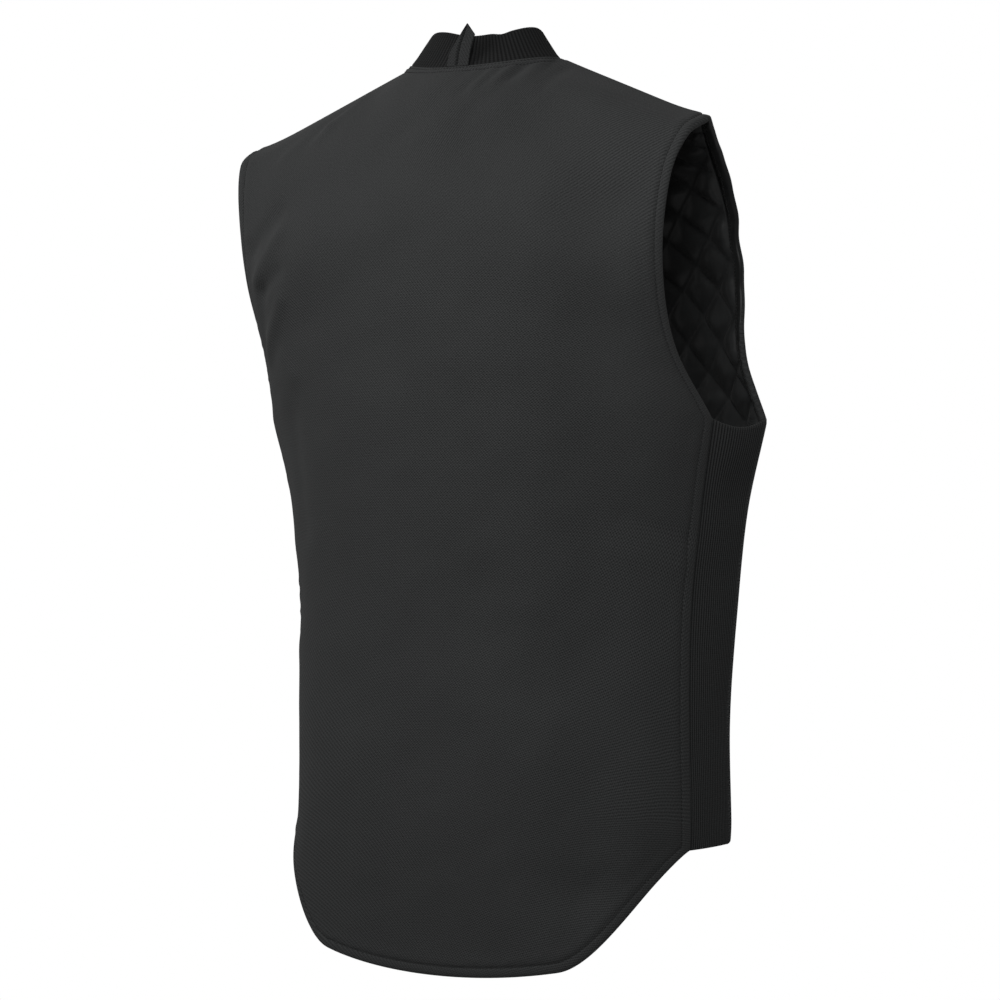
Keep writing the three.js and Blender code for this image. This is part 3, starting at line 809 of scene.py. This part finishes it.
def crossing(net, face, gap, level, axis, reverse):
    """Points of a face where a distance first passes a level, going in from an edge."""
    order = slice(None, None, -1) if reverse else slice(None)
    grid = [np.swapaxes(g, 0, 1) if axis == 0 else g for g in (face, net.normals, gap)]
    points, normals, gaps = (g[:, order] for g in grid)
    found = []
    for row in range(len(points)):
        past = np.nonzero(gaps[row] >= level)[0]
        if len(past) == 0 or past[0] == 0:
            continue
        k = past[0]
        t = (level - gaps[row, k - 1]) / (gaps[row, k] - gaps[row, k - 1])
        spot = mix(points[row, k - 1], points[row, k], t)
        found.append((spot, mix(normals[row, k - 1], normals[row, k], t), row))
    return found


def stitch_run(spots):
    """Stitches along a line of points with their outward directions: points and faces."""
    line = np.array([s[0] for s in spots])
    normal = unit(np.array([s[1] for s in spots]))
    run = lengths(line)
    count = int(run[-1] / STITCH_PITCH)
    shares = np.array([0.0, 0.22, 0.5, 0.78, 1.0])
    girth = np.array([0.45, 0.95, 1.0, 0.95, 0.45])
    rise = np.array([-0.25, 0.16, 0.26, 0.16, -0.25])
    at = np.arange(count)[:, None] * STITCH_PITCH + 0.3 + shares[None] * STITCH_LONG
    centre = sample(at, run, line)
    out = unit(sample(at, run, normal))
    along = unit(np.gradient(centre, axis=1))
    side = unit(np.cross(along, out))
    centre = centre + out * rise[None, :, None]
    angle = np.arange(THREAD_SIDES) * TURN / THREAD_SIDES
    ring = side[:, :, None] * np.cos(angle)[:, None] + out[:, :, None] * np.sin(angle)[:, None]
    points = centre[:, :, None] + ring * (THREAD * girth)[None, :, None, None]
    rings = len(shares)
    index = np.arange(count * rings * THREAD_SIDES).reshape(count, rings, THREAD_SIDES)
    turned = np.roll(index, -1, 2)
    walls = np.stack([index[:, :-1], turned[:, :-1], turned[:, 1:], index[:, 1:]], -1).reshape(-1, 4)
    caps = []
    for end, step in ((0, 1), (rings - 1, -1)):
        loop = index[:, end, ::step]
        caps.append(np.stack([loop[:, 0], loop[:, 3], loop[:, 2], loop[:, 1]], -1))
        caps.append(np.stack([loop[:, 0], loop[:, 5], loop[:, 4], loop[:, 3]], -1))
    return points.reshape(-1, 3), np.concatenate([walls, *caps])


def add_stitches(name, runs, mirror):
    points, faces, first = [], [], 0
    for spots in runs:
        if len(spots) < 4:
            continue
        p, f = stitch_run(spots)
        points.append(p)
        faces.append(f + first)
        first += len(p)
    points = np.concatenate(points)
    faces = np.concatenate(faces)
    return add_piece(name, (points, faces, None), [THREAD_PAINT], None, mirror)


def panel_runs(net):
    """Lines of stitches of a panel, on its face and along the armhole's inner face."""
    runs = []
    away = net.away

    def side_run(face, level, reverse):
        spots = crossing(net, face, away["side"], level, 1, reverse)
        return [s for s in spots if away["hem"][s[2], -1 if reverse else 0] >= STITCH_LINE]

    for reverse in [True] if net.panel.front else [True, False]:
        runs.append(side_run(net.outer, STITCH_LINE, reverse))
        inner = side_run(net.inner, STITCH_LINE - INNER_STITCH, reverse)
        runs.append([(s[0], -s[1], s[2]) for s in inner])
    if net.panel.front:
        spots = side_run(net.outer, STITCH_LINE, False)
        runs.append([s for s in spots if away["neck"][s[2], 0] >= NECK_CLEAR])
    hem = crossing(net, net.outer, away["hem"], STITCH_LINE, 0, False)
    runs.append([s for s in hem if away["side"][0, s[2]] >= STITCH_LINE])
    for level in NECK_STITCH:
        neck = crossing(net, net.outer, away["neck"], level, 0, True)
        limit = 0 if not net.panel.front else 4
        runs.append([s for s in neck if abs(net.columns[s[2]]) < NECK_COLUMN and s[2] >= limit])
    return runs


back_stitches = add_stitches("back_panel_topstitch", panel_runs(back_net), False)
right_stitches = add_stitches("front_panel_right_topstitch", panel_runs(front_net), True)
left_stitches = add_stitches("front_panel_left_topstitch", panel_runs(front_net), False)


# Quilted lining.

QUILT_WIDE = 46.0
QUILT_TALL = 47.0
QUILT_PUFF = 5.0
QUILT_ROUND = 2.6
QUILT_PUCKER = 1.1
LINING_EDGE = 9.7
LINING_LINES = (0, 0.5, 1.3, 2.4, 4.0, 6.2)


def lining_high(column):
    return float(mix(LINING_EDGE, 1.2, smoothstep(NECK_COLUMN - 0.35, NECK_COLUMN + 0.35, abs(column))))


def lining_faces(net, seed):
    p, n, u, v = net.points, net.normals, net.u, net.v
    rim = [p[0], p[-1], p[:, 0], p[:, -1]]
    away = nearest(p, rim)
    warp = 1.6 * ripple(u, v, 70, seed)
    steep = math.hypot(1 / QUILT_WIDE, 1 / QUILT_TALL)
    seams = []
    for way in (1, -1):
        turns = (u + warp) / QUILT_WIDE + way * v / QUILT_TALL
        seams.append(np.abs(turns - np.round(turns)) / steep)
    puff = np.prod([1 - (1 - np.clip(2 * seam * steep, 0, 1)) ** QUILT_ROUND for seam in seams], axis=0)
    crumple = ripple(u, v, 13, seed + 1) * 0.12 + ripple(u, v, 26, seed + 2) * 0.5
    swell = QUILT_PUFF * puff * (1 + 0.2 * ripple(u, v, 45, seed + 3)) + crumple * puff**0.6
    swell += QUILT_PUCKER * ripple(u * 0.2, v, 7.5, seed + 4) * np.exp(-away / 9)
    swell = np.maximum(swell, 0) * smoothstep(0, 6, away)
    full = rounding(away, LINING)
    middle = CANVAS + GAP + LINING / 2
    outer = raised(p, n, net.drape - (middle - LINING / 2 * full))
    inner = raised(p, n, net.drape - (middle + LINING / 2 * full + swell))
    return outer, inner, cloth_of(u, v, np.minimum(*seams))


def add_lining(name, net, mirror, seed):
    mesh = shell(*lining_faces(net, seed))
    return add_piece(name + "_quilt", mesh, [SATIN_PAINT], name, mirror)


LINING_SIDE = (10.02, 9.99, 9.94, 9.87, 9.77)
LINING_CENTRE = (0.5, 0.53, 0.57)
LINING_BACK = np.unique(np.round([*LINING_SIDE, *np.linspace(0, 9.64, 46)], 5))
LINING_FRONT = np.unique(np.round([*LINING_SIDE, *np.linspace(0.62, 9.64, 104), *LINING_CENTRE], 5))
lining_back_net = Net(back_panel, LINING_BACK, LINING_LINES, 120, LINING_EDGE, lining_high)
lining_front_net = Net(front_panel, LINING_FRONT, LINING_LINES, 232, LINING_EDGE, lining_high)
for net, folds in ((lining_back_net, (*BACK_FOLDS, *BACK_CREASES)), (lining_front_net, ())):
    rims = [net.points[:, -1], net.points[0]] + ([] if net.panel.front else [net.points[:, 0]])
    net.drape = swells(net, folds, LINING_EDGE + nearest(net.points, rims), 0)
lining_back = add_lining("lining_back", lining_back_net, False, 21)
lining_right = add_lining("lining_front_right", lining_front_net, True, 31)
lining_left = add_lining("lining_front_left", lining_front_net, False, 31)


# Rib knit sides.

RIB_DEEP = 3.0
RIB_RECESS = 2.0
RIB_BULGE = 2.0
RIB_DIP = 7.0
RIB_PITCH = 4.1
RIB_HIGH = 0.95
RIB_STEPS = 8


def edge_line(panel, rows):
    """Side edge of a panel from the hem to the armpit, and its outward directions."""
    at = np.linspace(0, panel.pit, rows)
    columns = np.array([COLUMNS - 0.4, float(COLUMNS)])
    points, _ = surface(panel, columns, np.concatenate([at, [panel.end]]))
    points = points[:-1]
    over = points[:, 1] - points[:, 0]
    up = np.gradient(points[:, 1], axis=0)
    normal = np.cross(over, up) if panel.front else np.cross(up, over)
    return points[:, 1], unit(normal)


def rib_cycles(ribs, steps, rim):
    """Places across a rib knit, counted in ribs, with one more near each border."""
    cycle = np.linspace(0, ribs, ribs * steps + 1)
    return np.concatenate([[0, rim], cycle[1:-1], [ribs - rim, ribs]])


def rib_crest(cycle):
    return (0.5 - 0.5 * np.cos(TURN * cycle))[None] ** 0.8


def rib_faces():
    rows = 96
    lines = np.array([0, 0.4, 1.1, 2.2])
    from_p, from_n = edge_line(back_panel, 400)
    to_p, to_n = edge_line(front_panel, 400)
    share = np.arange(400) / 399
    tall = np.linalg.norm(np.diff(from_p, axis=0), axis=1).sum()
    between = np.linspace(3.5 / tall, 1 - 3.5 / tall, rows)
    spots = np.concatenate([lines / tall, between, 1 - lines[::-1] / tall])

    def at(grid):
        return sample(spots, share, grid)

    a, an, b, bn = at(from_p), at(from_n), at(to_p), at(to_n)
    wide = float(np.linalg.norm(b - a, axis=1).mean())
    ribs = round(wide / RIB_PITCH)
    cycle = rib_cycles(ribs, RIB_STEPS, 0.06)
    part = cycle / ribs
    chord = b - a
    long = np.linalg.norm(chord, axis=1)[:, None]
    t = mix(-SEAM_TUCK / long, 1 + SEAM_TUCK / long, part[None])
    base = a[:, None] + chord[:, None] * t[..., None]
    normal = unit(mix(an[:, None], bn[:, None], t[..., None]))
    arch = 4 * t * (1 - t)
    base[..., 0] += RIB_BULGE * arch
    base[..., 2] -= RIB_DIP * arch * smoothstep(0.8, 1, spots)[:, None]
    length = spots[:, None] * tall + np.zeros_like(t)
    edge = np.minimum(length, tall - length)
    side = np.minimum(t, 1 - t) * long + SEAM_TUCK
    away = np.minimum(edge, side)
    full = rounding(away, RIB_DEEP)
    relief = RIB_HIGH * (rib_crest(cycle) - 0.6) * smoothstep(0, 1.5, away)
    sway = 0.5 * ripple(length, t * 80, 70, 51)
    middle = -RIB_RECESS - RIB_DEEP / 2
    outer = raised(base, normal, middle + sway + RIB_DEEP / 2 * full + relief)
    inner = raised(base, normal, middle + sway - RIB_DEEP / 2 * full - relief * 0.6)
    return outer, inner, cloth_of(cycle[None], length)


def add_rib(name, mirror):
    return add_piece(name + "_knit", shell(*rib_faces()), [KNIT_PAINT], name, mirror)


rib_right = add_rib("side_rib_right", True)
rib_left = add_rib("side_rib_left", False)


# Rib knit collar.

COLLAR_TALL = 25.0
COLLAR_LEAN = 17.0
COLLAR_DEEP = 3.4
COLLAR_RECESS = 1.6
COLLAR_LIFT = 1.4
COLLAR_TUCK = 2.6
COLLAR_TURN = 0.4
COLLAR_PITCH = 3.7
COLLAR_HIGH = 0.8
COLLAR_STEPS = 6

# Rise of the collar's top edge by the angle from the centre back, towards the wearer's left.
COLLAR_WAVE = (
    (-180.0, 0.0),
    (-110.0, 1.0),
    (-80.0, 2.4),
    (-60.0, 1.7),
    (-48.0, 0.4),
    (-36.0, 2.2),
    (-20.0, 2.7),
    (0.0, 3.3),
    (20.0, 4.8),
    (35.0, 5.4),
    (50.0, 4.5),
    (60.0, 2.6),
    (70.0, -0.6),
    (80.0, -2.5),
    (100.0, -5.0),
    (130.0, -3.0),
    (180.0, 0.0),
)


def collar_ring():
    """Neck seam from one side of the closure round the back to the other, with outward directions."""
    at_front = front_net.columns <= NECK_COLUMN
    at_back = np.abs(back_net.columns) <= NECK_COLUMN
    front_p, front_n = front_net.points[-1, at_front], front_net.normals[-1, at_front]
    back_p, back_n = back_net.points[-1, at_back][::-1], back_net.normals[-1, at_back][::-1]
    points = np.concatenate([front_p[:-1], back_p, flip(front_p[:-1])[::-1]])
    normals = np.concatenate([front_n[:-1], back_n, flip(front_n[:-1])[::-1]])
    return points, normals


def collar_faces():
    line, normals = collar_ring()
    run = lengths(line)
    ribs = round(run[-1] / COLLAR_PITCH)
    cycle = rib_cycles(ribs, COLLAR_STEPS, 0.07)
    point, normal = (sample(cycle / ribs * run[-1], run, grid) for grid in (line, normals))
    normal = unit(normal)
    over = unit(np.gradient(point, axis=0))
    away = unit(np.cross(normal, over))
    inside = np.stack([-point[:, 0], NECK_Y - point[:, 1], np.zeros(len(point))], -1)
    inside = unit(inside)
    facing = unit(-inside + np.array([0, 0, COLLAR_LEAN / COLLAR_TALL]))
    foot = point - normal * COLLAR_RECESS + away * COLLAR_LIFT
    up = inside * COLLAR_LEAN + np.array([0, 0, COLLAR_TALL])
    slant = float(np.linalg.norm(up[0]))
    lines = np.array([0, 0.35, 0.9, 1.7])
    between = np.linspace(3 / slant, 1 - 3 / slant, 12)
    part = np.concatenate([lines / slant, between, 1 - lines[::-1] / slant])
    turn = smoothstep(0, COLLAR_TURN, part)[:, None, None]
    direction = unit(mix(normal[None], facing[None], turn))
    tuck = COLLAR_TUCK * (1 - smoothstep(0, 0.25, part))[:, None, None]
    base = foot[None] + up[None] * part[:, None, None] - away[None] * tuck
    angle = np.arctan2(point[:, 0], point[:, 1] - NECK_Y)
    base[..., 2] += collar_wave(angle)[None] * part[:, None] ** 1.5
    tall = part[:, None] * slant + np.zeros(len(cycle))[None]
    edge = np.minimum(np.minimum(tall, slant - tall), np.minimum(cycle, ribs - cycle)[None] * COLLAR_PITCH)
    full = rounding(edge, COLLAR_DEEP)
    relief = COLLAR_HIGH * (rib_crest(cycle) - 0.55) * smoothstep(0, 1.6, edge)
    middle = COLLAR_DEEP / 2
    outer = raised(base, -direction, middle - COLLAR_DEEP / 2 * full - relief)
    inner = raised(base, -direction, middle + COLLAR_DEEP / 2 * full + relief)
    for grid in (outer, inner):
        grid[:, 0, 0] = CLOSURE / 2
        grid[:, -1, 0] = -CLOSURE / 2
    return outer, inner, cloth_of(cycle[None], tall), base[:, 0], direction[:, 0]


def collar_wave(angle):
    """Rise and fall of the collar's top edge round the neck."""
    knots = np.radians(np.array(COLLAR_WAVE)[:, 0])
    return smooth(knots, np.array(COLLAR_WAVE)[:, 1], angle)


*collar_sides, collar_end, collar_facing = collar_faces()
collar = add_piece("collar_knit", shell(*collar_sides), [COLLAR_PAINT], "collar")


# Hanger loop of folded canvas tape: its left border, the crease between its legs, its right border.

LOOP_DEEP = 1.8
LOOP_LEAN = 0.2
LOOP_SET = -0.6
LOOP_LEFT = ((9.2, -1.8), (8.2, 9), (5.0, 16), (1.0, 23), (-1.8, 28), (-6.0, 35))
LOOP_CREASE = ((-0.4, -1.8), (-0.6, 9), (-1.9, 18), (-3.8, 25), (-6.2, 35.2))
LOOP_RIGHT = ((-11.6, -1.8), (-12, 9), (-12.9, 17), (-15, 25.5), (-6.6, 35.4))
LOOP_TALL = 36.0
CREASE_DEEP = 3.4
CREASE_WIDE = 0.85


def border(knots, shares):
    knots = np.array(knots, float)
    run = lengths(knots)
    return sample(shares * run[-1], run, knots)


def loop_faces():
    foot = back_net.points[-1, len(back_net.columns) // 2]
    shares = np.unique(np.concatenate([[0, 0.012, 0.03], np.linspace(0.05, 0.95, 34), [0.97, 0.988, 1]]))
    part = np.array([0, 0.03, 0.08, 0.16, 0.26, 0.38, 0.5, 0.62, 0.74, 0.84, 0.91, 0.96, 1])
    left, crease, right = (border(knots, shares)[:, None] for knots in (LOOP_LEFT, LOOP_CREASE, LOOP_RIGHT))
    legs = [mix(left, crease, part[None, :, None]), mix(crease, right, 1 - part[None, -2::-1, None])]
    flat = np.concatenate(legs, 1)
    side = np.minimum(np.linalg.norm(flat - left, axis=2), np.linalg.norm(flat - right, axis=2))
    tall = shares[:, None] * LOOP_TALL + np.zeros_like(side)
    edge = np.minimum(side, np.minimum(tall, LOOP_TALL - tall))
    full = rounding(edge, LOOP_DEEP)
    off = np.linalg.norm(flat - crease, axis=2)
    fold = CREASE_DEEP * bell(off, CREASE_WIDE) * smoothstep(0, 2, edge)
    seam = 0.3 * bell(side - 1.9, 0.5)
    depth = foot[1] + LOOP_SET + LOOP_DEEP / 2 - LOOP_LEAN * flat[..., 1] - fold
    height = foot[2] + GAP + flat[..., 1]
    outer = np.stack([flat[..., 0], depth + (LOOP_DEEP / 2 - seam) * full, height], -1)
    inner = np.stack([flat[..., 0], depth - LOOP_DEEP / 2 * full, height], -1)
    return outer, inner, cloth_of(side, tall)


loop = add_piece("hanger_loop_tape", shell(*loop_faces()), [LOOP_PAINT], "hanger_loop")


# Front closure: a woven tape with a chain of teeth.

CHAIN_HALF = 2.6
CHAIN_HIGH = 1.2
TAPE_DEEP = 2.2
TAPE_RECESS = 1.5
TAPE_ROWS = 170
TOOTH_PITCH = 1.6
TOOTH_TALL = 0.62
TOOTH_REACH = 1.5
TOOTH_TAPER = 0.72


def zip_line():
    """Middle of the closure from the hem to the top of the collar, and its outward directions."""
    above = np.linspace(0.15, 1, 12)
    share = np.linspace(0, 1, len(collar_end))
    end, facing = (sample(above, share, grid) for grid in (collar_end, collar_facing))
    points = np.concatenate([front_net.points[:, 0], end + facing * TAPE_RECESS])
    normals = np.concatenate([front_net.normals[:, 0], facing])
    flat = np.array([0, 1, 1])
    return points * flat, unit(normals * flat)


def zip_mesh():
    line, normals = zip_line()
    run = lengths(line)

    def at(spots):
        return [sample(spots, run, grid) for grid in (line, normals)]

    half = CLOSURE / 2 + SEAM_TUCK
    x = np.array([-1, -0.985, -0.95, -0.88, -0.7, -0.4, 0, 0.4, 0.7, 0.88, 0.95, 0.985, 1]) * half
    ends = np.array([0, 0.3, 0.9])
    place, out = at(np.concatenate([ends, np.linspace(2, run[-1] - 2, TAPE_ROWS), run[-1] - ends[::-1]]))
    place = place[:, None] + np.stack([x, 0 * x, 0 * x], -1)[None]
    full = rounding(np.broadcast_to(half - np.abs(x), place.shape[:2]), TAPE_DEEP)
    middle = TAPE_RECESS + TAPE_DEEP / 2
    faces_of = [raised(place, -out[:, None], middle - way * TAPE_DEEP / 2 * full) for way in (1, -1)]
    points, faces, _ = shell(*faces_of)
    faces = outward(points, faces)
    spots = np.arange(3, run[-1] - 3, TOOTH_PITCH)
    place, out = at(spots)
    along = unit(np.stack([np.gradient(place[:, k]) for k in range(3)], -1))
    way = np.where(np.arange(len(spots)) % 2, 1.0, -1.0)
    reach = (CHAIN_HALF + TOOTH_REACH) / 2
    centre = place + np.stack([way * (CHAIN_HALF - TOOTH_REACH) / 2, 0 * way, 0 * way], -1)
    corners = []
    for deep, size in ((TAPE_RECESS + 0.3, 1.0), (TAPE_RECESS - CHAIN_HIGH, TOOTH_TAPER)):
        for across, up in ((-1, -1), (1, -1), (1, 1), (-1, 1)):
            shift = np.array([across * reach * (0.9 + 0.1 * size), 0, 0]) + along * up * TOOTH_TALL * size
            corners.append(centre + shift - out * deep)
    teeth = np.stack(corners, 1)
    box = np.array([[0, 1, 2, 3], [7, 6, 5, 4], [0, 4, 5, 1], [1, 5, 6, 2], [2, 6, 7, 3], [3, 7, 4, 0]])
    boxes = (np.arange(len(spots))[:, None, None] * 8 + box[None]).reshape(-1, 4)
    boxes = outward(teeth.reshape(-1, 3), boxes) + len(points)
    picks = np.concatenate([np.zeros(len(faces), int), np.ones(len(boxes), int)])
    points = np.concatenate([points, teeth.reshape(-1, 3)])
    return (points, np.concatenate([faces, boxes]), None), picks


mesh, picks = zip_mesh()
add_piece("front_zip_chain", mesh, [TAPE_PAINT, ZIP_PAINT], "front_zip", False, picks)


# Stage, light and camera.

FLOOR = -2.0
FLOOR_HALF = 2.4
FLOOR_DARK = (0.88, 0.88, 0.88)
FLOOR_LIGHT = (0.92, 0.92, 0.92)


def add_floor():
    mesh = bpy.data.meshes.new("floor")
    corners = [(x * FLOOR_HALF, y * FLOOR_HALF, FLOOR) for x, y in ((-1, -1), (1, -1), (1, 1), (-1, 1))]
    mesh.from_pydata(corners, [], [(0, 1, 2, 3)])
    mesh.materials.append(grain_material("pale_floor", FLOOR_DARK, FLOOR_LIGHT, *FLOOR_GRAIN))
    floor = bpy.data.objects.new("floor", mesh)
    bpy.context.collection.objects.link(floor)


add_floor()


def add_light(name, place, target, size, power, spread):
    data = bpy.data.lights.new(name, "AREA")
    data.shape = "DISK"
    data.size = size
    data.energy = power
    data.spread = math.radians(spread)
    lamp = bpy.data.objects.new(name, data)
    lamp.location = place
    aim = np.array(target) - np.array(place)
    yaw = math.atan2(-aim[0], aim[1])
    pitch = math.atan2(math.hypot(aim[0], aim[1]), -aim[2])
    lamp.rotation_euler = (pitch, 0, yaw)
    bpy.context.collection.objects.link(lamp)


SKY = 0.17
LIGHT_AIM = (0, 0.05, -0.3)
LIGHT_SIZE = 0.8
LIGHT_SPREAD = 120

world = bpy.data.worlds.new("studio")
world.use_nodes = True
tree = world.node_tree
sky = tree.nodes["Background"]
sky.inputs["Color"].default_value = (1, 1, 1, 1)
path = tree.nodes.new("ShaderNodeLightPath")
glow = tree.nodes.new("ShaderNodeMapRange")
glow.inputs["To Min"].default_value = SKY
tree.links.new(path.outputs["Is Camera Ray"], glow.inputs["Value"])
tree.links.new(glow.outputs["Result"], sky.inputs["Strength"])
bpy.context.scene.world = world
add_light("left", (1.04, 0.92, 0.55), LIGHT_AIM, LIGHT_SIZE, 5.2, LIGHT_SPREAD)
add_light("front", (-0.64, 1.41, 0.25), LIGHT_AIM, LIGHT_SIZE, 6.6, LIGHT_SPREAD)

CAMERA_TURN = math.radians(30)
CAMERA_FAR = 2.052
CAMERA_HIGH = -0.372
data = bpy.data.cameras.new("camera")
data.sensor_width = 36.0
data.lens = 86.4
camera = bpy.data.objects.new("camera", data)
camera.location = (-CAMERA_FAR * math.sin(CAMERA_TURN), CAMERA_FAR * math.cos(CAMERA_TURN), CAMERA_HIGH)
camera.rotation_euler = (math.pi / 2, 0, math.pi + CAMERA_TURN)
bpy.context.collection.objects.link(camera)
bpy.context.scene.camera = camera
bpy.context.scene.view_settings.view_transform = "Standard"
